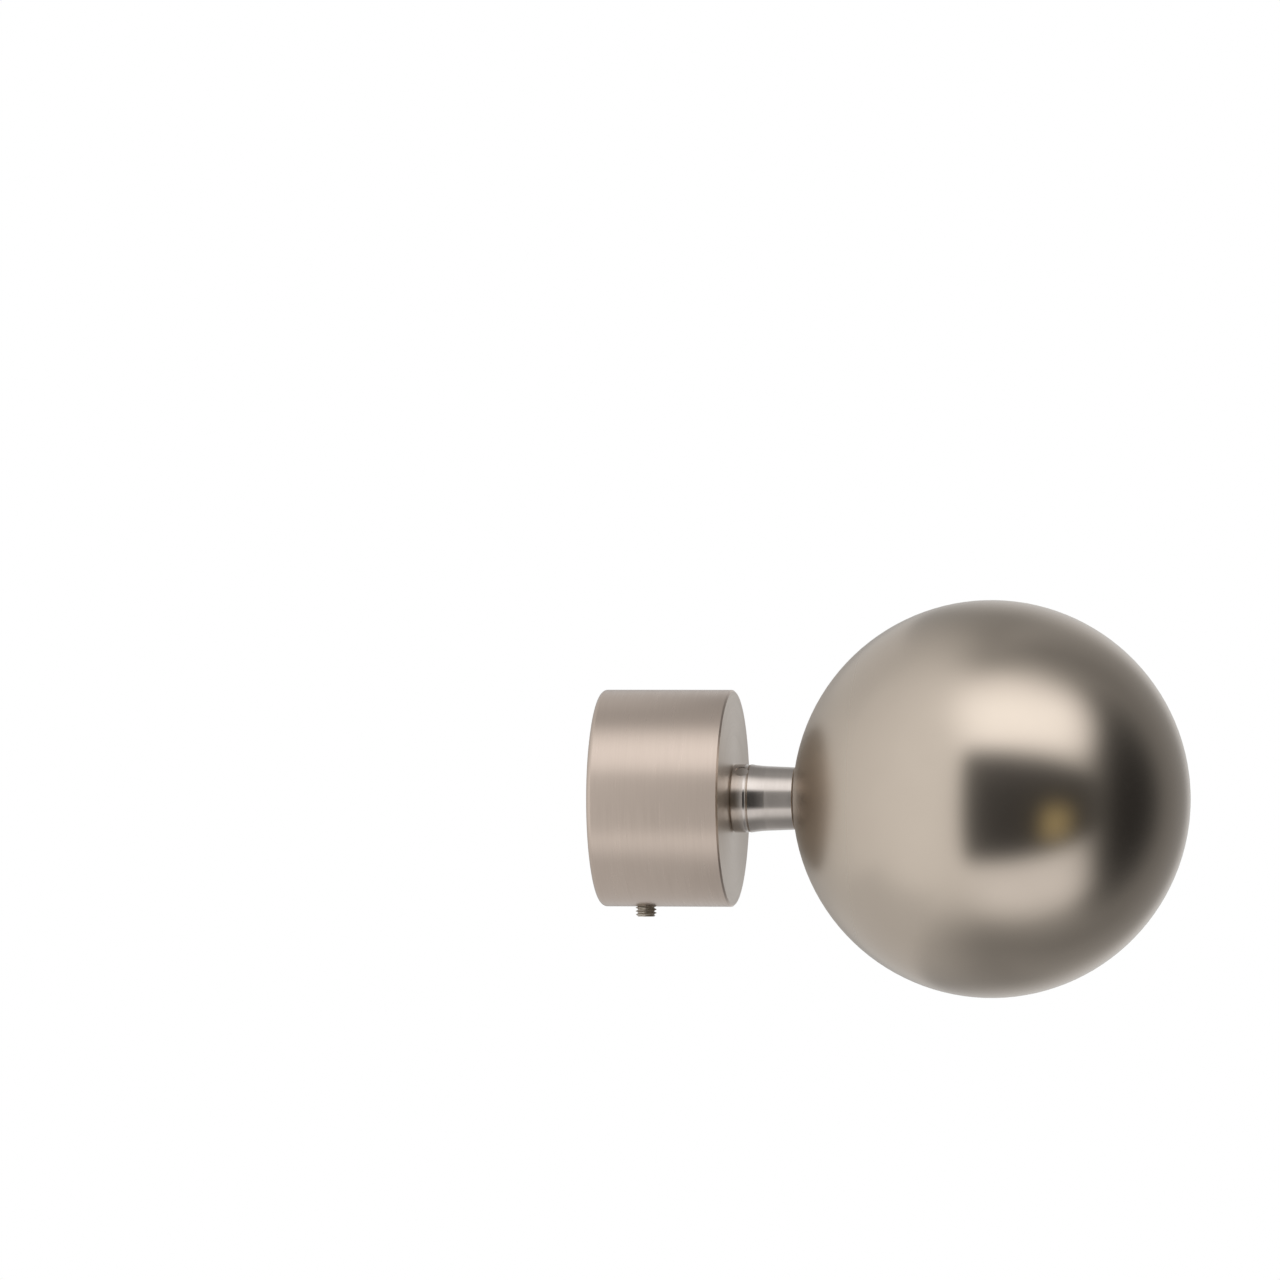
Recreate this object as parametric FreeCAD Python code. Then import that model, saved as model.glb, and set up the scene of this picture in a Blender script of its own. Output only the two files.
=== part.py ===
import FreeCAD, Part
import math
import os

from FreeCAD import Vector

# Ball finial for the end of a round curtain pole, turned and pressed in steel with a satin nickel finish.
# Millimetres. X is the pole axis, +X points from the pole to the ball, and +Z is up.
# The origin is the centre of the socket floor, where the end of the pole seats.

# The pole, and the cup that slides over it
POLE_DIAMETER = 28.0
POLE_CLEARANCE = 0.2
SOCKET_DEPTH = 16.0
CAP_WALL = 1.4
MOUTH_ROUND = 0.7
MOUTH_LEAD_IN = 0.3
FACE_EDGE_BREAK = 0.25

# Grub screw that clamps the pole, M3, in a tapped hole at the bottom of the cup
GRUB_DIAMETER = 3.0
GRUB_LENGTH = 3.0
GRUB_THREAD_CLEARANCE = 0.03
GRUB_FROM_MOUTH = 6.25
GRUB_TIP_TO_POLE = 0.04
GRUB_END_CHAMFER = 0.25
GRUB_HEX_ACROSS_FLATS = 1.5
GRUB_HEX_DEPTH = 1.2
GRUB_CUP_DIAMETER = 1.4
GRUB_HOLE_EDGE_BREAK = 0.2

# Turned neck between cup and ball: collar, round groove, flare and a waist that tapers to the ball
NECK_LENGTH = 8.85
WAIST_DIAMETER = 8.96
WAIST_TAPER = 2.3
FLARE_RISE = 0.27
FLARE_LENGTH = 2.4
COLLAR_LENGTH = 1.95
COLLAR_EDGE_BREAK = 0.3
GROOVE_WIDTH = 0.7
GROOVE_DEPTH = 0.08
NECK_EDGE_BREAK = 0.15
BALL_SEAT_CLEARANCE = 0.05

# Flat-bottomed hole for a spanner's pin, in the collar, raised from the front of the neck
PIN_HOLE_DIAMETER = 2.1
PIN_HOLE_DEPTH = 0.17
PIN_HOLE_FROM_FACE = 1.55
PIN_HOLE_ANGLE = 54.0

# M5 stud on the neck, screwed into the ball, and what all the threads and drilled holes share
STUD_DIAMETER = 5.0
STUD_LENGTH = 8.0
STUD_CHAMFER = 0.5
THREAD_CLEARANCE = 0.05
DRILL_POINT_ANGLE = 118.0

# Countersunk M4 screw with a cross recess, from inside the socket into the neck
CAP_SCREW_DIAMETER = 4.0
CAP_SCREW_LENGTH = 8.0
CAP_SCREW_CHAMFER = 0.4
CAP_SCREW_HEAD_DIAMETER = 8.4
CAP_SCREW_HEAD_RIM = 0.2
CAP_SCREW_SINK = 0.1
CAP_SCREW_CLEARANCE = 0.15
COUNTERSINK_CLEARANCE = 0.05
COUNTERSINK_LAND = 0.6
TAP_RUN_OUT = 1.4
RECESS_SPAN = 4.4
RECESS_WIDTH = 1.1
RECESS_DEPTH = 2.0
RECESS_TIP_SPAN = 1.8

# Hollow ball, with a threaded bush brazed to its inside
BALL_DIAMETER = 57.0
BALL_WALL = 1.2
BALL_HOLE_CLEARANCE = 0.2
BUSH_DIAMETER = 11.0
BUSH_LENGTH = 9.0
BRAZE_GAP = 0.05

X_AXIS = Vector(1, 0, 0)
UP = Vector(0, 0, 1)

bore_radius = POLE_DIAMETER / 2 + POLE_CLEARANCE
cap_radius = bore_radius + CAP_WALL
cap_screw_radius = CAP_SCREW_DIAMETER / 2
cap_hole_radius = cap_screw_radius + CAP_SCREW_CLEARANCE
sink_radius = CAP_SCREW_HEAD_DIAMETER / 2 + COUNTERSINK_CLEARANCE
sink_cone_start = CAP_SCREW_SINK + CAP_SCREW_HEAD_RIM
sink_cone_end = sink_cone_start + sink_radius - cap_hole_radius
cap_face_x = sink_cone_end + COUNTERSINK_LAND
stud_radius = STUD_DIAMETER / 2
ball_radius = BALL_DIAMETER / 2
ball_inner_radius = ball_radius - BALL_WALL
ball_near_x = cap_face_x + NECK_LENGTH
ball_centre_x = ball_near_x + ball_radius
grub_x = GRUB_FROM_MOUTH - SOCKET_DEPTH
grub_tip_z = -(POLE_DIAMETER / 2 + GRUB_TIP_TO_POLE)


def turned(path):
    """Solid of revolution about X from (x, radius) points. An arc is a pair: a point on it and its end."""
    start = Vector(*path[0], 0)
    here = start
    edges = []
    for step in path[1:]:
        if isinstance(step[0], tuple):
            on_arc = Vector(*step[0], 0)
            there = Vector(*step[1], 0)
            edges.append(Part.Arc(here, on_arc, there).toShape())
        else:
            there = Vector(*step, 0)
            edges.append(Part.makeLine(here, there))
        here = there
    edges.append(Part.makeLine(here, start))
    return Part.Face(Part.Wire(edges)).revolve(Vector(), X_AXIS, 360)


def near_side(sphere_radius, radius):
    """Point (x, radius) on the neck's side of a sphere about the ball's centre."""
    return ball_centre_x - math.sqrt(sphere_radius ** 2 - radius ** 2), radius


def drill_point_height(radius):
    return radius / math.tan(math.radians(DRILL_POINT_ANGLE / 2))


def make_end_cap():
    mouth_round = min(MOUTH_ROUND, CAP_WALL - MOUTH_LEAD_IN)
    round_x = mouth_round - SOCKET_DEPTH
    round_radius = cap_radius - mouth_round
    round_middle = mouth_round * math.sqrt(0.5)
    cup = turned([
        (0, sink_radius),
        (0, bore_radius),
        (MOUTH_LEAD_IN - SOCKET_DEPTH, bore_radius),
        (-SOCKET_DEPTH, bore_radius + MOUTH_LEAD_IN),
        (-SOCKET_DEPTH, round_radius),
        ((round_x - round_middle, round_radius + round_middle), (round_x, cap_radius)),
        (cap_face_x - FACE_EDGE_BREAK, cap_radius),
        (cap_face_x, cap_radius - FACE_EDGE_BREAK),
        (cap_face_x, cap_hole_radius),
        (sink_cone_end, cap_hole_radius),
        (sink_cone_start, sink_radius),
    ])
    tapped = GRUB_DIAMETER / 2 + GRUB_THREAD_CLEARANCE
    outside = Vector(grub_x, 0, -cap_radius - GRUB_HOLE_EDGE_BREAK)
    hole = Part.makeCylinder(tapped, cap_radius, outside, UP)
    mouth = Part.makeCone(tapped + 2 * GRUB_HOLE_EDGE_BREAK, tapped, 2 * GRUB_HOLE_EDGE_BREAK, outside, UP)
    return cup.cut(hole.fuse(mouth))


def make_neck():
    waist_radius = WAIST_DIAMETER / 2
    groove_start = cap_face_x + COLLAR_LENGTH
    flare_start = groove_start + GROOVE_WIDTH
    flare_end = flare_start + FLARE_LENGTH
    seat_radius = ball_radius + BALL_SEAT_CLEARANCE
    seat_rim = near_side(seat_radius, waist_radius - NECK_EDGE_BREAK)
    seat_middle = near_side(seat_radius, (seat_rim[1] + stud_radius) / 2)
    waist_end = seat_rim[0] - NECK_EDGE_BREAK
    slope = math.tan(math.radians(WAIST_TAPER))
    flare_radius = waist_radius + (waist_end - flare_end) * slope
    collar_radius = flare_radius + FLARE_RISE
    flare_middle = flare_radius + FLARE_RISE / 2 - (FLARE_RISE - slope * FLARE_LENGTH) / 4
    stud_end = ball_near_x + STUD_LENGTH
    tapped_radius = cap_screw_radius + THREAD_CLEARANCE
    tapped_end = CAP_SCREW_SINK + CAP_SCREW_LENGTH + TAP_RUN_OUT
    body = turned([
        (cap_face_x, tapped_radius),
        (cap_face_x, collar_radius - COLLAR_EDGE_BREAK),
        (cap_face_x + COLLAR_EDGE_BREAK, collar_radius),
        (groove_start, collar_radius),
        ((groove_start + GROOVE_WIDTH / 2, collar_radius - GROOVE_DEPTH), (flare_start, collar_radius)),
        ((flare_start + FLARE_LENGTH / 2, flare_middle), (flare_end, flare_radius)),
        (waist_end, waist_radius),
        seat_rim,
        (seat_middle, near_side(seat_radius, stud_radius)),
        (stud_end - STUD_CHAMFER, stud_radius),
        (stud_end, stud_radius - STUD_CHAMFER),
        (stud_end, 0),
        (tapped_end + drill_point_height(tapped_radius), 0),
        (tapped_end, tapped_radius),
    ])
    return body.cut(pin_hole(collar_radius))


def pin_hole(collar_radius):
    angle = math.radians(PIN_HOLE_ANGLE)
    outwards = Vector(0, -math.cos(angle), math.sin(angle))
    floor = Vector(cap_face_x + PIN_HOLE_FROM_FACE, 0, 0) + outwards * (collar_radius - PIN_HOLE_DEPTH)
    return Part.makeCylinder(PIN_HOLE_DIAMETER / 2, collar_radius, floor, outwards)


def make_ball():
    hole_radius = stud_radius + BALL_HOLE_CLEARANCE
    return turned([
        near_side(ball_radius, hole_radius),
        ((ball_centre_x, ball_radius), (ball_centre_x + ball_radius, 0)),
        (ball_centre_x + ball_inner_radius, 0),
        ((ball_centre_x, ball_inner_radius), near_side(ball_inner_radius, hole_radius)),
    ])


def make_ball_bush():
    face_radius = ball_inner_radius - BRAZE_GAP
    bush_radius = BUSH_DIAMETER / 2
    tapped_radius = stud_radius + THREAD_CLEARANCE
    inner_end = ball_near_x + BALL_WALL + BUSH_LENGTH
    return turned([
        near_side(face_radius, tapped_radius),
        (near_side(face_radius, (tapped_radius + bush_radius) / 2), near_side(face_radius, bush_radius)),
        (inner_end, bush_radius),
        (inner_end, tapped_radius),
    ])


def make_cap_screw():
    head_radius = CAP_SCREW_HEAD_DIAMETER / 2
    top = CAP_SCREW_SINK
    tip = top + CAP_SCREW_LENGTH
    screw = turned([
        (top, 0),
        (top, head_radius),
        (sink_cone_start, head_radius),
        (sink_cone_start + head_radius - cap_screw_radius, cap_screw_radius),
        (tip - CAP_SCREW_CHAMFER, cap_screw_radius),
        (tip, cap_screw_radius - CAP_SCREW_CHAMFER),
        (tip, 0),
    ])
    half_span = RECESS_SPAN / 2
    half_width = RECESS_WIDTH / 2
    arm = Part.makeBox(RECESS_DEPTH, RECESS_SPAN, RECESS_WIDTH, Vector(top, -half_span, -half_width))
    cross_arm = Part.makeBox(RECESS_DEPTH, RECESS_WIDTH, RECESS_SPAN, Vector(top, -half_width, -half_span))
    taper = Part.makeCone(half_span, RECESS_TIP_SPAN / 2, RECESS_DEPTH, Vector(top, 0, 0), X_AXIS)
    return screw.cut(arm.fuse(cross_arm).common(taper))


def make_grub_screw():
    radius = GRUB_DIAMETER / 2
    cup_radius = GRUB_CUP_DIAMETER / 2
    outer_end = Vector(grub_x, 0, grub_tip_z - GRUB_LENGTH)
    plain = GRUB_LENGTH - 2 * GRUB_END_CHAMFER
    lower = Part.makeCone(radius - GRUB_END_CHAMFER, radius, GRUB_END_CHAMFER, outer_end, UP)
    body = Part.makeCylinder(radius, plain, outer_end + UP * GRUB_END_CHAMFER, UP)
    upper_start = outer_end + UP * (GRUB_LENGTH - GRUB_END_CHAMFER)
    upper = Part.makeCone(radius, radius - GRUB_END_CHAMFER, GRUB_END_CHAMFER, upper_start, UP)
    corner_radius = GRUB_HEX_ACROSS_FLATS / math.sqrt(3)
    turns = [math.radians(60 * corner) for corner in range(7)]
    corners = [outer_end + Vector(corner_radius * math.cos(a), corner_radius * math.sin(a), 0) for a in turns]
    hexagon = Part.Face(Part.makePolygon(corners)).extrude(UP * GRUB_HEX_DEPTH)
    cup_depth = drill_point_height(cup_radius)
    cup = Part.makeCone(0, cup_radius, cup_depth, outer_end + UP * (GRUB_LENGTH - cup_depth), UP)
    return lower.fuse([body, upper]).removeSplitter().cut(hexagon.fuse(cup))


os.makedirs("parts", exist_ok=True)
pieces = {
    "end_cap": make_end_cap(),
    "neck": make_neck(),
    "cap_screw": make_cap_screw(),
    "ball": make_ball(),
    "ball_bush": make_ball_bush(),
    "grub_screw": make_grub_screw(),
}
for name, piece in pieces.items():
    piece.exportStep(os.path.join("parts", name + ".step"))
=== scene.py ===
import math

import bpy
from mathutils import Matrix, Vector


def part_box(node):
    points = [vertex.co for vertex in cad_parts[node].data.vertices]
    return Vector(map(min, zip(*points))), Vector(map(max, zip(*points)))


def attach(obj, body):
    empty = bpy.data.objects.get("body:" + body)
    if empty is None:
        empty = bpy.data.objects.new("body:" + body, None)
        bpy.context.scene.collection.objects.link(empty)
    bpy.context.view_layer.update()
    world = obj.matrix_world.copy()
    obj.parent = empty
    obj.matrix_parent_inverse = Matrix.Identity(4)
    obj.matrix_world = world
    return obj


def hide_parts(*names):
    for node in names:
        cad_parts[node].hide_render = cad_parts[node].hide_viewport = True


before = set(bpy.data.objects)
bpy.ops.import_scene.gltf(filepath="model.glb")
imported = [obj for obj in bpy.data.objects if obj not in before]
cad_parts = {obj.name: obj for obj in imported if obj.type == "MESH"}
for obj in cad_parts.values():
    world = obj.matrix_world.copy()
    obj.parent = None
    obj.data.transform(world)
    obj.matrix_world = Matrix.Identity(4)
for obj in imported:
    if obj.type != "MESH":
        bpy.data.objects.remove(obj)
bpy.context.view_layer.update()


# End cap: the turned cup that slides over the end of the pole. Steel, bored and faced on a lathe, then plated
# with nickel and brushed while it turned, so every line runs round the pole's axis.
MM = 0.001
# Shades and roughness come in pairs, for the low and the high places of a pattern. Lines have a spacing, a
# length and a depth. Real brushing is finer: the lines are drawn just coarse enough to show.
CAP_NICKEL = ("#C6B7AB", "#C8B9AD")
CAP_LINES = (0.2 * MM, 8.0 * MM, 0.001 * MM)
CAP_ROUGHNESS = (0.34, 0.27)
CAP_STRETCH = 0.5
FACE_NICKEL = ("#DBD1C6", "#DDD3C8")
FACE_LINES = (0.3 * MM, 12.0 * MM, 0.001 * MM)
FACE_ROUGHNESS = (0.42, 0.38)
FACE_STRETCH = 0.3
FACE_NORMAL_X = 0.99
RING_SPREAD = (0.35, 0.6)
POLISH_SPREAD = (0.3, 0.7)
QUARTER_TURN = 0.25


def linear(hex_colour):
    """An sRGB hex colour as linear red, green, blue and alpha."""
    shares = [int(hex_colour[i:i + 2], 16) / 255 for i in (1, 3, 5)]
    return [s / 12.92 if s <= 0.04045 else ((s + 0.055) / 1.055) ** 2.4 for s in shares] + [1.0]


def add(tree, kind, settings=None, links=None):
    """Adds one node, sets its sockets, properties or ramp stops, and links its sockets to these outputs."""
    node = tree.nodes.new("ShaderNode" + kind)
    for name, value in (settings or {}).items():
        if name == "stops":
            stops = list(value)
            while len(node.color_ramp.elements) < len(stops):
                node.color_ramp.elements.new(0.5)
            for element, (position, shade) in zip(node.color_ramp.elements, stops):
                element.position = position
                element.color = linear(shade)
        elif isinstance(name, int) or name in node.inputs:
            node.inputs[name].default_value = value
        else:
            setattr(node, name, value)
    for name, output in (links or {}).items():
        tree.links.new(output, node.inputs[name])
    return node


def new_material(name):
    """An empty node material, with its tree."""
    material = bpy.data.materials.new(name)
    material.use_nodes = True
    material.node_tree.nodes.clear()
    return material, material.node_tree


def dress(node_name, *materials):
    """Gives a carried-over solid its finishes."""
    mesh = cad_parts[node_name].data
    mesh.materials.clear()
    for material in materials:
        mesh.materials.append(material)
    return mesh


def lathe_coordinate(tree, spacing, length):
    """Texture space whose first axis runs along the turned profile, so that noise makes rings about X."""
    place = add(tree, "TexCoord").outputs["Object"]
    flat = add(tree, "VectorMath", {"operation": "MULTIPLY", 1: (0, 1, 1)}, {0: place})
    radius = add(tree, "VectorMath", {"operation": "LENGTH"}, {0: flat.outputs["Vector"]})
    split = add(tree, "SeparateXYZ", links={"Vector": place})
    along = add(tree, "Math", {"operation": "ADD"}, {0: split.outputs["X"], 1: radius.outputs["Value"]})
    joined = add(tree, "CombineXYZ", links={
        "X": along.outputs["Value"], "Y": split.outputs["Y"], "Z": split.outputs["Z"]})
    scaled = add(tree, "VectorMath", {"operation": "MULTIPLY", 1: (1 / spacing, 1 / length, 1 / length)},
                 {0: joined.outputs["Vector"]})
    return scaled.outputs["Vector"]


def brushed_on_the_lathe(name, shades, lines, roughness, stretch):
    """Brushed nickel plate: rings too fine to count, which draw each highlight out along the pole's axis."""
    material, tree = new_material(name)
    spacing, length, depth = lines
    rings = add(tree, "TexNoise", {"Scale": 1.0, "Detail": 3.0, "Roughness": 0.6},
                {"Vector": lathe_coordinate(tree, spacing, length)})
    colour = add(tree, "ValToRGB", {"stops": zip(RING_SPREAD, shades)}, {"Fac": rings.outputs["Fac"]})
    polish = add(tree, "MapRange",
                 {"From Min": POLISH_SPREAD[0], "From Max": POLISH_SPREAD[1],
                  "To Min": roughness[0], "To Max": roughness[1]},
                 {"Value": rings.outputs["Fac"]})
    bump = add(tree, "Bump", {"Strength": 1.0, "Distance": depth}, {"Height": rings.outputs["Fac"]})
    around = add(tree, "Tangent", {"direction_type": "RADIAL", "axis": "X"})
    metal = add(tree, "BsdfPrincipled",
                {"Metallic": 1.0, "Anisotropic": stretch, "Anisotropic Rotation": QUARTER_TURN},
                {"Base Color": colour.outputs["Color"], "Roughness": polish.outputs["Result"],
                 "Normal": bump.outputs["Normal"], "Tangent": around.outputs["Tangent"]})
    add(tree, "OutputMaterial", links={"Surface": metal.outputs["BSDF"]})
    return material


cap_plate = brushed_on_the_lathe("brushed_nickel_plate", CAP_NICKEL, CAP_LINES, CAP_ROUGHNESS, CAP_STRETCH)
face_plate = brushed_on_the_lathe("faced_nickel_plate", FACE_NICKEL, FACE_LINES, FACE_ROUGHNESS, FACE_STRETCH)
cap_mesh = dress("end_cap", cap_plate, face_plate)
for polygon in cap_mesh.polygons:
    if polygon.normal.x > FACE_NORMAL_X:
        polygon.material_index = 1


# Cap screw and ball bush: the countersunk screw through the cap's floor and the bush brazed inside the ball.
# Both are plain turned steel, which nothing has brushed or plated.
# The cloud in the steel is drawn coarser than the tool's real marks, so that it shows.
STEEL_CLOUD = 0.35 * MM
STEEL_SPREAD = (0.35, 0.65)
TURNED_STEEL = ("#8A847C", "#A39E97")
TURNED_ROUGHNESS = (0.4, 0.28)


def cloudy_steel(name, shades, roughness):
    """Plain steel as a tool leaves it: grey and a little cloudy, with a soft highlight that breaks up."""
    material, tree = new_material(name)
    place = add(tree, "TexCoord").outputs["Object"]
    cloud = add(tree, "TexNoise", {"Scale": 1 / STEEL_CLOUD, "Detail": 4.0, "Roughness": 0.65},
                {"Vector": place})
    colour = add(tree, "ValToRGB", {"stops": zip(STEEL_SPREAD, shades)}, {"Fac": cloud.outputs["Fac"]})
    polish = add(tree, "MapRange",
                 {"From Min": POLISH_SPREAD[0], "From Max": POLISH_SPREAD[1],
                  "To Min": roughness[0], "To Max": roughness[1]},
                 {"Value": cloud.outputs["Fac"]})
    metal = add(tree, "BsdfPrincipled", {"Metallic": 1.0},
                {"Base Color": colour.outputs["Color"], "Roughness": polish.outputs["Result"]})
    add(tree, "OutputMaterial", links={"Surface": metal.outputs["BSDF"]})
    return material


turned_steel = cloudy_steel("turned_steel", TURNED_STEEL, TURNED_ROUGHNESS)
dress("cap_screw", turned_steel)
dress("ball_bush", turned_steel)


# Neck: the short spool between cap and ball, turned from bar with a collar, a fine groove and a hole for a
# spanner's pin. It is plated like the cap, but its lines are finer, and polishing has left it brighter and
# less yellow.
NECK_NICKEL = ("#C0B8B1", "#C4BCB5")
NECK_LINES = (0.12 * MM, 5.0 * MM, 0.001 * MM)
NECK_ROUGHNESS = (0.22, 0.17)
NECK_STRETCH = 0.35

neck_plate = brushed_on_the_lathe(
    "polished_nickel_plate", NECK_NICKEL, NECK_LINES, NECK_ROUGHNESS, NECK_STRETCH)
dress("neck", neck_plate)


# Ball: a hollow steel ball, spun and welded, ground round, plated and rubbed to an even satin that has no
# direction. The corner beside the neck is hard to reach, so the satin is coarser there.
# The grain is drawn coarser than a real satin, which is too fine to show.
SATIN_GRAIN = 0.25 * MM
SATIN_GRAIN_DEPTH = 0.0006 * MM
SATIN_CLOUD = 14.0 * MM
SATIN_SPREAD = (0.3, 0.7)
SATIN_NICKEL = ("#C2B6A8", "#C6BAAC")
SATIN_ROUGHNESS = 0.24
CORNER_ROUGHNESS = 0.37
CORNER_REACH = (3.0 * MM, 14.0 * MM)

ball_low, ball_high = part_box("ball")
ball_centre = (ball_low + ball_high) / 2


def satin_nickel():
    """Satin nickel plate: an even fine grain, on a true sphere, that blurs what the ball mirrors."""
    material, tree = new_material("satin_nickel_plate")
    place = add(tree, "TexCoord").outputs["Object"]
    grain = add(tree, "TexNoise", {"Scale": 1 / SATIN_GRAIN, "Detail": 2.0}, {"Vector": place})
    cloud = add(tree, "TexNoise", {"Scale": 1 / SATIN_CLOUD, "Detail": 3.0}, {"Vector": place})
    colour = add(tree, "ValToRGB", {"stops": zip(SATIN_SPREAD, SATIN_NICKEL)}, {"Fac": cloud.outputs["Fac"]})
    along = add(tree, "SeparateXYZ", links={"Vector": place})
    polish = add(tree, "MapRange",
                 {"interpolation_type": "SMOOTHSTEP",
                  "From Min": ball_low.x + CORNER_REACH[0], "From Max": ball_low.x + CORNER_REACH[1],
                  "To Min": CORNER_ROUGHNESS, "To Max": SATIN_ROUGHNESS},
                 {"Value": along.outputs["X"]})
    outward = add(tree, "VectorMath", {"operation": "SUBTRACT", 1: ball_centre}, {0: place})
    upright = add(tree, "VectorTransform",
                  {"vector_type": "NORMAL", "convert_from": "OBJECT", "convert_to": "WORLD"},
                  {"Vector": outward.outputs["Vector"]})
    bump = add(tree, "Bump", {"Strength": 1.0, "Distance": SATIN_GRAIN_DEPTH},
               {"Height": grain.outputs["Fac"], "Normal": upright.outputs["Vector"]})
    metal = add(tree, "BsdfPrincipled", {"Metallic": 1.0},
                {"Base Color": colour.outputs["Color"], "Roughness": polish.outputs["Result"],
                 "Normal": bump.outputs["Normal"]})
    add(tree, "OutputMaterial", links={"Surface": metal.outputs["BSDF"]})
    return material


dress("ball", satin_nickel())


# Grub screw: the M3 set screw that clamps the pole, with a hex socket outside and a cup point inside.
# Hardened steel with a rolled thread, screwed into the cap's side from below.
THREAD_PITCH = 0.5 * MM
THREAD_DEPTH = 0.307 * MM
ROWS_PER_TURN = 16
CREST_ROWS = 1
ROOT_ROWS = 6
SIDES = 96
SOCKET_ACROSS_FLATS = 1.5 * MM
SOCKET_MOUTH_RADIUS = 0.93 * MM
SOCKET_MOUTH_DEPTH = 0.08 * MM
SOCKET_DEPTH = 1.2 * MM
SOCKET_POINT = 0.25 * MM
CUP_RADIUS = 0.7 * MM
CUP_DEPTH = 0.4 * MM
SHARP_ANGLE = math.radians(28)
SCREW_STEEL = ("#B0A89C", "#CFC7BB")
SCREW_ROUGHNESS = (0.52, 0.42)

screw_low, screw_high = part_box("grub_screw")
screw_centre = (screw_low + screw_high) / 2
crest_radius = (screw_high.x - screw_low.x) / 2
root_radius = crest_radius - THREAD_DEPTH


def thread_radius(row):
    """Radius of the thread's flat crest, straight flank or flat root at a row of its helix."""
    from_crest = abs((row + ROWS_PER_TURN // 2) % ROWS_PER_TURN - ROWS_PER_TURN // 2)
    down = min(max((from_crest - CREST_ROWS) / (ROOT_ROWS - CREST_ROWS), 0.0), 1.0)
    return crest_radius - THREAD_DEPTH * down


def grub_screw_mesh():
    """Rings of equal count from the socket's point to the cup's point, with a helical thread between them."""
    points = []
    faces = []

    def around(side, radius, height):
        angle = 2 * math.pi * side / SIDES
        return screw_centre.x + radius * math.cos(angle), screw_centre.y + radius * math.sin(angle), height

    def ring(radius_at, height):
        first = len(points)
        points.extend(around(side, radius_at(side), height) for side in range(SIDES))
        return [first + side for side in range(SIDES)]

    def hexagon(side):
        corner = SIDES // 6
        from_flat = (side % corner - corner / 2) * 2 * math.pi / SIDES
        return SOCKET_ACROSS_FLATS / 2 / math.cos(from_flat)

    def join(lower, upper):
        for side in range(SIDES):
            after = (side + 1) % SIDES
            faces.append((lower[side], lower[after], upper[after], upper[side]))

    def close(edge, height, upward):
        tip = len(points)
        points.append((screw_centre.x, screw_centre.y, height))
        for side in range(SIDES):
            pair = (edge[side], edge[(side + 1) % SIDES])
            faces.append((*pair, tip) if upward else (*reversed(pair), tip))

    low, high = screw_low.z, screw_high.z
    socket_floor = ring(hexagon, low + SOCKET_DEPTH)
    close(socket_floor, low + SOCKET_DEPTH + SOCKET_POINT, False)
    socket_top = ring(hexagon, low + SOCKET_MOUTH_DEPTH)
    join(socket_floor, socket_top)
    mouth = ring(lambda side: SOCKET_MOUTH_RADIUS, low)
    join(socket_top, mouth)
    low_end = ring(lambda side: root_radius, low)
    join(mouth, low_end)
    high_end = ring(lambda side: root_radius, high)

    # The thread rises by one pitch in a turn and runs out over a 45 degree chamfer at each end.
    rows = math.ceil((high - low) / THREAD_PITCH) * ROWS_PER_TURN
    helix = {}
    for row in range(-ROWS_PER_TURN, rows + ROWS_PER_TURN + 1):
        for side in range(SIDES):
            height = low + THREAD_PITCH * (row / ROWS_PER_TURN + side / SIDES)
            if height <= low:
                helix[row, side] = low_end[side]
            elif height >= high:
                helix[row, side] = high_end[side]
            else:
                chamfer = root_radius + min(height - low, high - height)
                helix[row, side] = len(points)
                points.append(around(side, min(thread_radius(row), chamfer), height))
    for row in range(-ROWS_PER_TURN, rows + 1):
        for side in range(SIDES):
            after = (row + ROWS_PER_TURN, 0) if side == SIDES - 1 else (row, side + 1)
            above = (after[0] + 1, after[1])
            if above not in helix:
                continue
            corners = [helix[row, side], helix[after], helix[above], helix[row + 1, side]]
            corners = list(dict.fromkeys(corners))
            if len(corners) > 2:
                faces.append(tuple(corners))

    cup_edge = ring(lambda side: CUP_RADIUS, high)
    join(high_end, cup_edge)
    close(cup_edge, high - CUP_DEPTH, True)
    mesh = bpy.data.meshes.new("grub_screw_threaded")
    mesh.from_pydata(points, [], faces)
    mesh.validate()
    mesh.shade_smooth()
    mesh.set_sharp_from_angle(angle=SHARP_ANGLE)
    return mesh


grub_mesh = grub_screw_mesh()
grub_mesh.materials.append(cloudy_steel("hardened_screw_steel", SCREW_STEEL, SCREW_ROUGHNESS))
grub_screw = bpy.data.objects.new("grub_screw_threaded", grub_mesh)
bpy.context.scene.collection.objects.link(grub_screw)
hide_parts("grub_screw")
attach(grub_screw, "grub_screw")


# Floor: a round white matt board well below the finial, which catches its shadow and thins out to nothing at
# its rim. Seen from underneath it lets the camera through, so that the grub screw can be seen from below.
FLOOR_DROP = 0.12
FLOOR_RADIUS = 0.6
FLOOR_FADE_FROM = 0.2
FLOOR_PAINT = "#F6F5F3"
ALONG_POLE = Vector((1, 0, 0))
TO_THE_BACK = Vector((0, 1, 0))


def plate(name, centre, across, up, half_width, half_height):
    """A flat stage panel in its own X and Y, which lie along two directions of the room."""
    mesh = bpy.data.meshes.new(name)
    corners = [(half_width * i, half_height * j, 0) for i, j in ((-1, -1), (1, -1), (1, 1), (-1, 1))]
    mesh.from_pydata(corners, [], [(0, 1, 2, 3)])
    panel = bpy.data.objects.new(name, mesh)
    panel.matrix_world = Matrix.LocRotScale(centre, Matrix((across, up, across.cross(up))).transposed(), None)
    bpy.context.scene.collection.objects.link(panel)
    return panel


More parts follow.
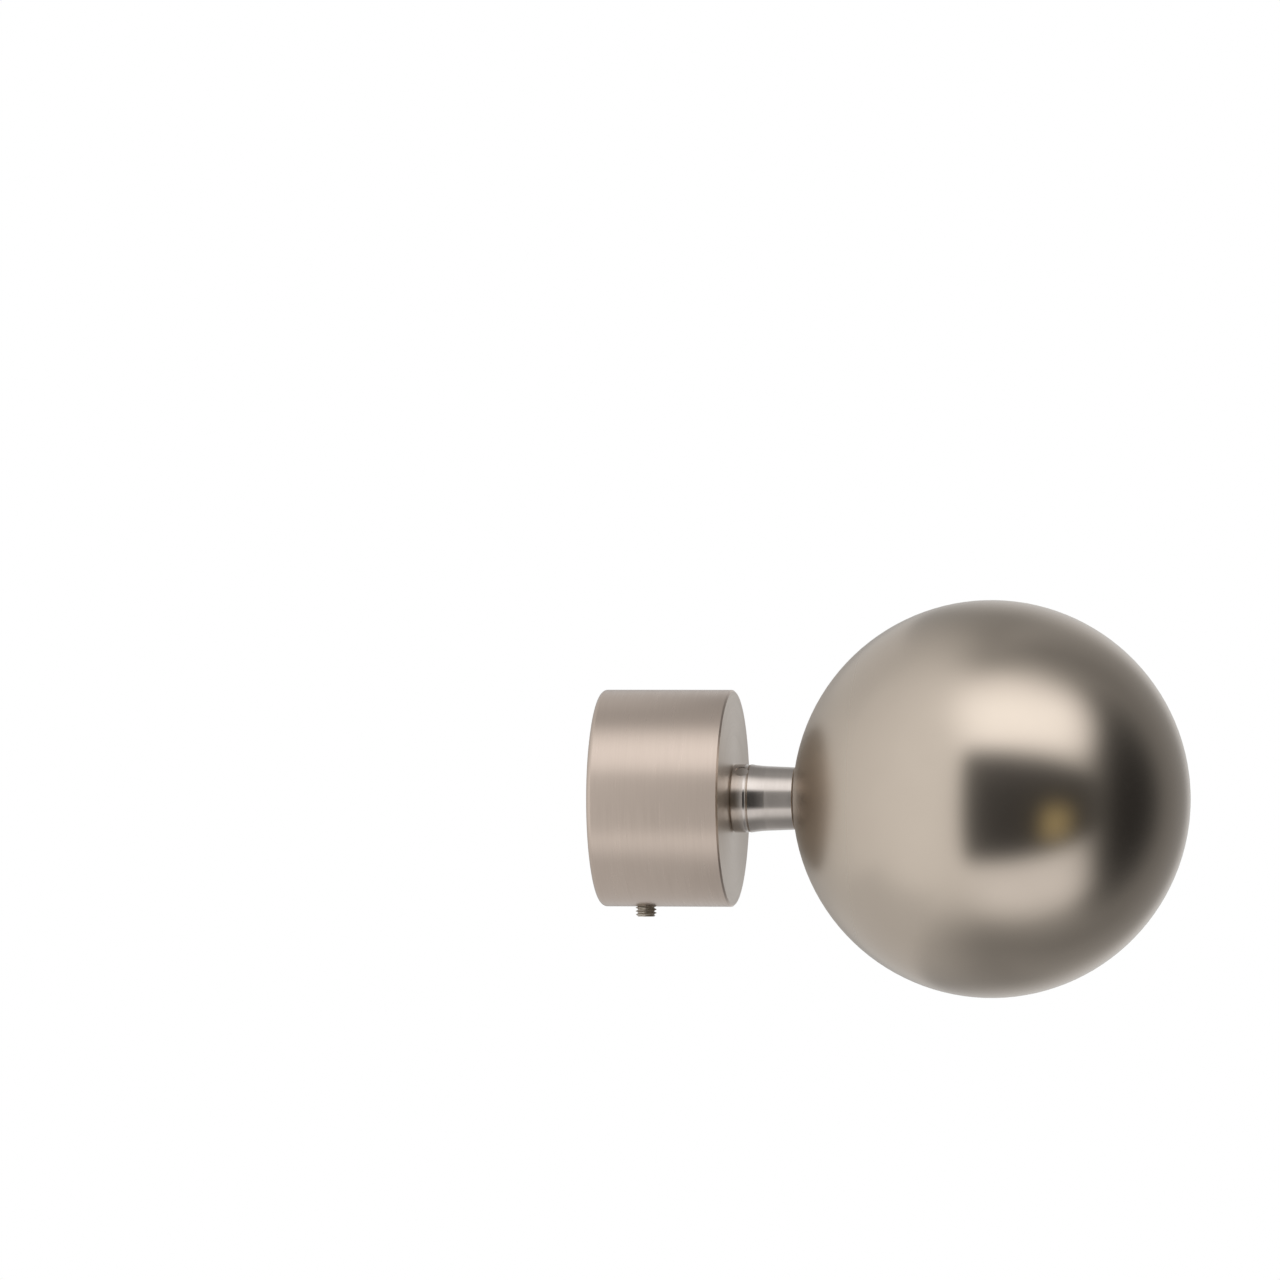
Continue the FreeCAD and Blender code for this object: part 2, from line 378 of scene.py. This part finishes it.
def floor_paint():
    """Matt white paint on the upper side, clear from below and at the rim."""
    material, tree = new_material("matt_floor_paint")
    place = add(tree, "TexCoord").outputs["Object"]
    reach = add(tree, "VectorMath", {"operation": "LENGTH"}, {0: place})
    fade = add(tree, "MapRange",
               {"interpolation_type": "SMOOTHSTEP", "From Min": FLOOR_FADE_FROM, "From Max": FLOOR_RADIUS},
               {"Value": reach.outputs["Value"]})
    facing = add(tree, "NewGeometry")
    unseen = add(tree, "Math", {"operation": "MAXIMUM"},
                 {0: facing.outputs["Backfacing"], 1: fade.outputs["Result"]})
    matt = add(tree, "BsdfDiffuse", {"Color": linear(FLOOR_PAINT)})
    clear = add(tree, "BsdfTransparent")
    sides = add(tree, "MixShader", links={
        0: unseen.outputs["Value"], 1: matt.outputs["BSDF"], 2: clear.outputs["BSDF"]})
    add(tree, "OutputMaterial", links={"Surface": sides.outputs["Shader"]})
    return material


floor_centre = ball_centre - Vector((0, 0, FLOOR_DROP))
floor = plate("floor", floor_centre, ALONG_POLE, TO_THE_BACK, FLOOR_RADIUS, FLOOR_RADIUS)
floor.data.materials.append(floor_paint())
floor.visible_glossy = False


# Studio room: what the metal mirrors. White paper stands on the left and in front, the back is grey and the
# right is open to a dark room, with a grey ceiling and floor. Only mirrored rays see it.
ROOM_RADIUS = 4.0
ROOM_COLUMNS = 64
ROOM_BANDS = 32
ROOM_LIGHT = 1.03
# Degrees from the front towards the right, once round from the left to the left.
ROOM_GREYS = ((-90, "#E9E9E9"), (-50, "#FAFAFA"), (-20, "#FFFFFF"), (30, "#FFFFFF"),
              (70, "#D0D0D0"), (90, "#B6B6B6"), (110, "#939393"), (130, "#848484"),
              (150, "#9A9A9A"), (165, "#A6A6A6"), (180, "#9A9A9A"), (195, "#A2A2A2"),
              (210, "#B9B9B9"), (230, "#CDCDCD"), (250, "#DCDCDC"), (270, "#E9E9E9"))
CEILING_GREY = "#A4A4A4"
CEILING_SHARPNESS = 30.0
GROUND_GREY = "#909090"
GROUND_SHARPNESS = 8.0
OPENING_GREY = "#303030"
OPENING_TURN = math.radians(94)
OPENING_EDGE = (math.radians(38), math.radians(1))
OPENING_TALLNESS = 1.9
OPENING_DROP = 0.02


def only_mirrored(thing):
    """Leaves a stage piece to mirrored rays alone."""
    thing.visible_camera = False
    thing.visible_diffuse = False
    thing.visible_transmission = False
    thing.visible_shadow = False


def room_walls():
    """Greys round the walls, blended into those of the ceiling and the floor and into the dark opening."""
    material, tree = new_material("studio_walls")
    place = add(tree, "TexCoord").outputs["Object"]
    direction = add(tree, "VectorMath", {"operation": "NORMALIZE"}, {0: place})
    split = add(tree, "SeparateXYZ", links={"Vector": direction.outputs["Vector"]})
    turn = add(tree, "Math", {"operation": "ARCTAN2"}, {0: split.outputs["Y"], 1: split.outputs["X"]})
    round_the_room = add(tree, "MapRange", {"From Min": -math.pi, "From Max": math.pi},
                         {"Value": turn.outputs["Value"]})
    left = ROOM_GREYS[0][0]
    blend = add(tree, "ValToRGB", {"stops": [((angle - left) / 360, grey) for angle, grey in ROOM_GREYS]},
                {"Fac": round_the_room.outputs["Result"]})
    for upward, sharpness, grey in ((1, CEILING_SHARPNESS, CEILING_GREY),
                                    (-1, GROUND_SHARPNESS, GROUND_GREY)):
        height = add(tree, "Math", {"operation": "MULTIPLY", "use_clamp": True, 1: upward},
                     {0: split.outputs["Z"]})
        share = add(tree, "Math", {"operation": "POWER", 1: sharpness}, {0: height.outputs["Value"]})
        blend = add(tree, "MixRGB", {"Color2": linear(grey)},
                    {"Fac": share.outputs["Value"], "Color1": blend.outputs["Color"]})
    squashed = add(tree, "VectorMath", {"operation": "MULTIPLY", 1: (1, 1, 1 / OPENING_TALLNESS)}, {0: place})
    squashed = add(tree, "VectorMath", {"operation": "NORMALIZE"}, {0: squashed.outputs["Vector"]})
    opening = (math.sin(OPENING_TURN), -math.cos(OPENING_TURN), -OPENING_DROP)
    lean = add(tree, "VectorMath", {"operation": "DOT_PRODUCT", 1: opening}, {0: squashed.outputs["Vector"]})
    dark = add(tree, "MapRange",
               {"interpolation_type": "SMOOTHSTEP",
                "From Min": math.cos(OPENING_EDGE[0]), "From Max": math.cos(OPENING_EDGE[1])},
               {"Value": lean.outputs["Value"]})
    blend = add(tree, "MixRGB", {"Color2": linear(OPENING_GREY)},
                {"Fac": dark.outputs["Result"], "Color1": blend.outputs["Color"]})
    glow = add(tree, "Emission", {"Strength": ROOM_LIGHT}, {"Color": blend.outputs["Color"]})
    add(tree, "OutputMaterial", links={"Surface": glow.outputs["Emission"]})
    material.cycles.emission_sampling = "NONE"
    return material


def sphere_mesh(name, radius, columns, bands):
    """A plain globe of quads, with a triangle fan at each pole."""
    points = [(0, 0, radius), (0, 0, -radius)]
    for band in range(1, bands):
        tilt = math.pi * band / bands
        for column in range(columns):
            turn = 2 * math.pi * column / columns
            points.append((radius * math.sin(tilt) * math.cos(turn), radius * math.sin(tilt) * math.sin(turn),
                           radius * math.cos(tilt)))
    faces = []
    for column in range(columns):
        after = (column + 1) % columns
        faces.append((0, 2 + column, 2 + after))
        last = 2 + (bands - 2) * columns
        faces.append((1, last + after, last + column))
        for band in range(bands - 2):
            first = 2 + band * columns
            faces.append((first + column, first + columns + column, first + columns + after, first + after))
    mesh = bpy.data.meshes.new(name)
    mesh.from_pydata(points, [], faces)
    mesh.shade_smooth()
    return mesh


room = bpy.data.objects.new("studio_room", sphere_mesh("studio_room", ROOM_RADIUS, ROOM_COLUMNS, ROOM_BANDS))
room.location = ball_centre
bpy.context.scene.collection.objects.link(room)
room.data.materials.append(room_walls())
only_mirrored(room)


# Panels: a softbox above and a weaker one below the axis, both in front and to the right, with black card
# between them, one small tan card, white paper behind, and a white sheet close above and below the cap. The
# sheets are laid out in metres from the ball's centre, the others by the angles at which the ball sees them.
SOFTBOX_WHITE = "#FDFDFF"
BLACK_CARD = "#424242"
TAN_CARD = "#B8A87C"
PAPER_WHITE = "#E7E7E7"
SHEET_WHITE = "#D8D8D8"
SHEET_DISTANCE = 0.09
SHEET_HALF_WIDTH = 0.066
SHEET_BACK = 0.25
# Each sheet's name, the side of the axis that it is on, and where its right and its front edge lie.
SHEETS = (("sheet_above", 1, -0.048, -0.015), ("sheet_below", -1, -0.038, -0.09))


def panel_seen_at(name, distance, facing, left, right, bottom, top):
    """A panel that the ball sees from left to right of where it faces and from bottom to top, in degrees."""
    azimuth = math.radians(facing)
    elevation = math.radians((bottom + top) / 2)
    outward = Vector((math.sin(azimuth) * math.cos(elevation), -math.cos(azimuth) * math.cos(elevation),
                      math.sin(elevation)))
    across = Vector((math.cos(azimuth), math.sin(azimuth), 0))
    reach = distance * math.cos(elevation)
    sides = [reach * math.tan(math.radians(side)) for side in (left, right)]
    half_height = distance * math.tan(math.radians(top - bottom) / 2)
    centre = ball_centre + outward * distance + across * (sum(sides) / 2)
    return plate(name, centre, across, outward.cross(across), (sides[1] - sides[0]) / 2, half_height)


def give_soft_glow(panel, hex_colour, light, left, right, bottom, top):
    """An even glow that thins out to nothing at the edges, over these shares of the width and height."""
    material, tree = new_material(panel.name)
    split = add(tree, "SeparateXYZ", links={"Vector": add(tree, "TexCoord").outputs["Generated"]})
    shares = []
    for axis, edge, inside in (("X", 0, left), ("X", 1, 1 - right), ("Y", 0, bottom), ("Y", 1, 1 - top)):
        rise = add(tree, "MapRange",
                   {"interpolation_type": "SMOOTHSTEP", "From Min": edge, "From Max": inside},
                   {"Value": split.outputs[axis]})
        shares.append(rise.outputs["Result"])
    kept = shares[0]
    for share in shares[1:]:
        kept = add(tree, "Math", {"operation": "MULTIPLY"}, {0: kept, 1: share}).outputs["Value"]
    glow = add(tree, "Emission", {"Color": linear(hex_colour), "Strength": light})
    clear = add(tree, "BsdfTransparent")
    mix = add(tree, "MixShader", links={0: kept, 1: clear.outputs["BSDF"], 2: glow.outputs["Emission"]})
    add(tree, "OutputMaterial", links={"Surface": mix.outputs["Shader"]})
    panel.data.materials.append(material)


softbox_above = panel_seen_at("softbox_above", distance=0.6, facing=20, left=-52, right=66, bottom=24, top=82)
give_soft_glow(softbox_above, SOFTBOX_WHITE, light=1.69, left=0.3, right=0.45, bottom=0.25, top=0.55)
softbox_above.visible_camera = False
softbox_below = panel_seen_at(
    "softbox_below", distance=0.6, facing=19, left=-42, right=64, bottom=-77, top=-30)
give_soft_glow(softbox_below, SOFTBOX_WHITE, light=1.1, left=0.3, right=0.45, bottom=0.5, top=0.2)
softbox_below.visible_camera = False
black_card = panel_seen_at("black_card", distance=0.42, facing=3, left=-17.5, right=76, bottom=-42, top=35)
give_soft_glow(black_card, BLACK_CARD, light=1.0, left=0.038, right=0.62, bottom=0.22, top=0.22)
only_mirrored(black_card)
tan_card = panel_seen_at("tan_card", distance=0.4, facing=42, left=-12, right=17, bottom=-27, top=3)
give_soft_glow(tan_card, TAN_CARD, light=1.2, left=0.42, right=0.55, bottom=0.45, top=0.45)
only_mirrored(tan_card)
paper = panel_seen_at("backdrop_paper", distance=0.6, facing=178, left=-25, right=25, bottom=-50, top=50)
give_soft_glow(paper, PAPER_WHITE, light=1.0, left=0.4, right=0.4, bottom=0.45, top=0.45)
only_mirrored(paper)
for name, side, right, front in SHEETS:
    half_depth = (SHEET_BACK - front) / 2
    centre = ball_centre + Vector((right - SHEET_HALF_WIDTH, front + half_depth, side * SHEET_DISTANCE))
    sheet = plate(name, centre, ALONG_POLE, TO_THE_BACK, SHEET_HALF_WIDTH, half_depth)
    give_soft_glow(sheet, SHEET_WHITE, light=1.0, left=0.2, right=0.11, bottom=0.2, top=0.3)
    only_mirrored(sheet)


# Background: plain white paper all round, without a seam. It is full white wherever it is seen or mirrored,
# and gives a mild even fill to everything else.
PAPER_ROUND = "#FFFFFF"
FILL = 0.9

world = bpy.data.worlds.new("white_background")
bpy.context.scene.world = world
world.use_nodes = True
world_tree = world.node_tree
world_tree.nodes.clear()
path = add(world_tree, "LightPath")
seen = add(world_tree, "Math", {"operation": "MAXIMUM"},
           {0: path.outputs["Is Camera Ray"], 1: path.outputs["Is Glossy Ray"]})
seen = add(world_tree, "Math", {"operation": "MAXIMUM"},
           {0: seen.outputs["Value"], 1: path.outputs["Is Transmission Ray"]})
strength = add(world_tree, "MapRange", {"To Min": FILL, "To Max": 1.0}, {"Value": seen.outputs["Value"]})
white = add(world_tree, "Background", {"Color": linear(PAPER_ROUND)},
            {"Strength": strength.outputs["Result"]})
add(world_tree, "OutputWorld", links={"Surface": white.outputs["Background"]})


# Camera: level, a little to the right of square on, from about a metre and a half, with a long lens. It is
# moved sideways and up until the ball's centre falls on its own pixel of the frame.
FRAME_PIXELS = 1280
FOCAL_PIXELS = 10000
SENSOR_WIDTH = 36.0
VIEW_YAW = math.radians(9.29)
VIEW_DISTANCE = 1.4321
BALL_PIXEL = (991.9, 799.0)

forward = Vector((-math.sin(VIEW_YAW), math.cos(VIEW_YAW), 0))
rightward = Vector((math.cos(VIEW_YAW), math.sin(VIEW_YAW), 0))
metres_per_pixel = VIEW_DISTANCE / FOCAL_PIXELS
camera_data = bpy.data.cameras.new("camera")
camera_data.sensor_width = SENSOR_WIDTH
camera_data.lens = SENSOR_WIDTH * FOCAL_PIXELS / FRAME_PIXELS
camera = bpy.data.objects.new("camera", camera_data)
camera.location = (ball_centre - forward * VIEW_DISTANCE
                   - rightward * ((BALL_PIXEL[0] - FRAME_PIXELS / 2) * metres_per_pixel)
                   + Vector((0, 0, (BALL_PIXEL[1] - FRAME_PIXELS / 2) * metres_per_pixel)))
camera.rotation_euler = forward.to_track_quat("-Z", "Y").to_euler()
bpy.context.scene.collection.objects.link(camera)
bpy.context.scene.camera = camera
bpy.context.scene.view_settings.view_transform = "Standard"
